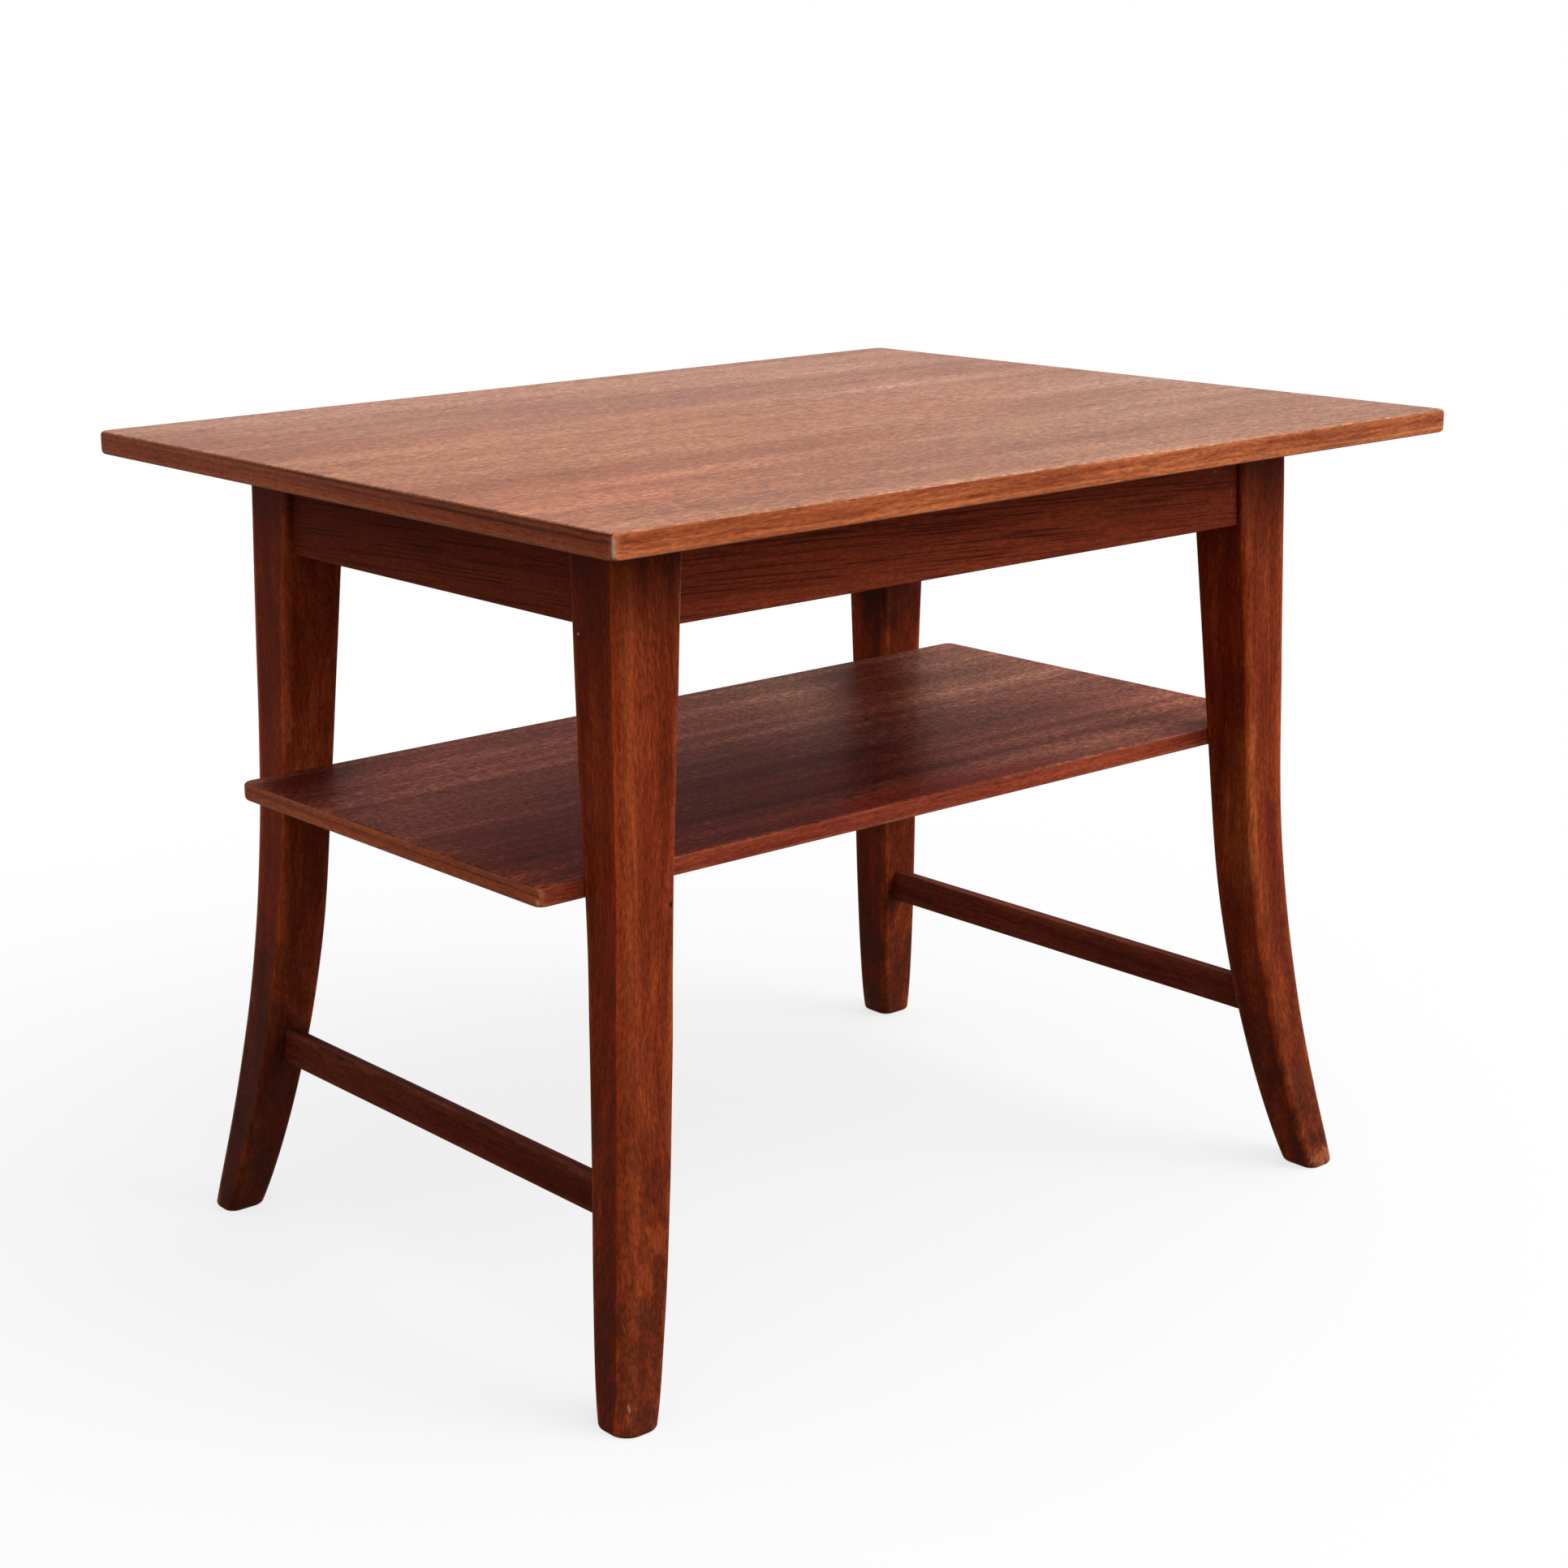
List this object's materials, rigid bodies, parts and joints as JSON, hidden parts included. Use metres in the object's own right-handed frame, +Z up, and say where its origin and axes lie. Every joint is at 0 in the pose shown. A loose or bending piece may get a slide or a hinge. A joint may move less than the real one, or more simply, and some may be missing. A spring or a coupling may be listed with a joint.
{
  "type": "coffee table",
  "caption": "Rectangular wooden coffee table with a veneered top, a lower shelf and tapered sabre legs that sweep outwards, joined by low end stretchers.",
  "frame": {"origin": "on the floor under the middle of the top", "axes": "+X along the length of the top, +Y along its width towards the back, +Z up"},
  "size_m": [0.74, 0.58, 0.57],
  "materials": {
    "top_veneer": "satin oiled veneer, grain along the length",
    "top_edge": "satin oiled solid edge strip",
    "shelf_veneer": "satin oiled veneer, grain along the length",
    "shelf_edge": "satin oiled solid edge strip",
    "backing": "plain unpolished veneer",
    "core_board": "raw board",
    "leg": "stained and oiled solid wood, worn at the feet",
    "apron": "stained open-pored wood",
    "stretcher": "stained solid wood",
    "block": "raw wood",
    "dowel": "raw wood",
    "screw": "dull steel"
  },
  "bodies": {
    "root": {"top_face_veneer": "top_veneer", "top_lipping_front": "top_edge", "top_lipping_back": "top_edge", "top_lipping_left": "top_edge", "top_lipping_right": "top_edge", "shelf_face_veneer": "shelf_veneer", "shelf_lipping_front": "shelf_edge", "shelf_lipping_back": "shelf_edge", "shelf_lipping_left": "shelf_edge", "shelf_lipping_right": "shelf_edge", "top_backing_veneer": "backing", "shelf_backing_veneer": "backing", "top_core": "core_board", "shelf_core": "core_board", "leg_front_left": "leg", "leg_front_right": "leg", "leg_back_left": "leg", "leg_back_right": "leg", "apron_front": "apron", "apron_back": "apron", "apron_left": "apron", "apron_right": "apron", "stretcher_left": "stretcher", "stretcher_right": "stretcher", "fixing_block_front": "block", "fixing_block_back": "block", "fixing_block_left": "block", "fixing_block_right": "block", "shelf_dowels_front": "dowel", "shelf_dowels_back": "dowel", "block_to_top_screws": "screw"}
  },
  "joints": []
}
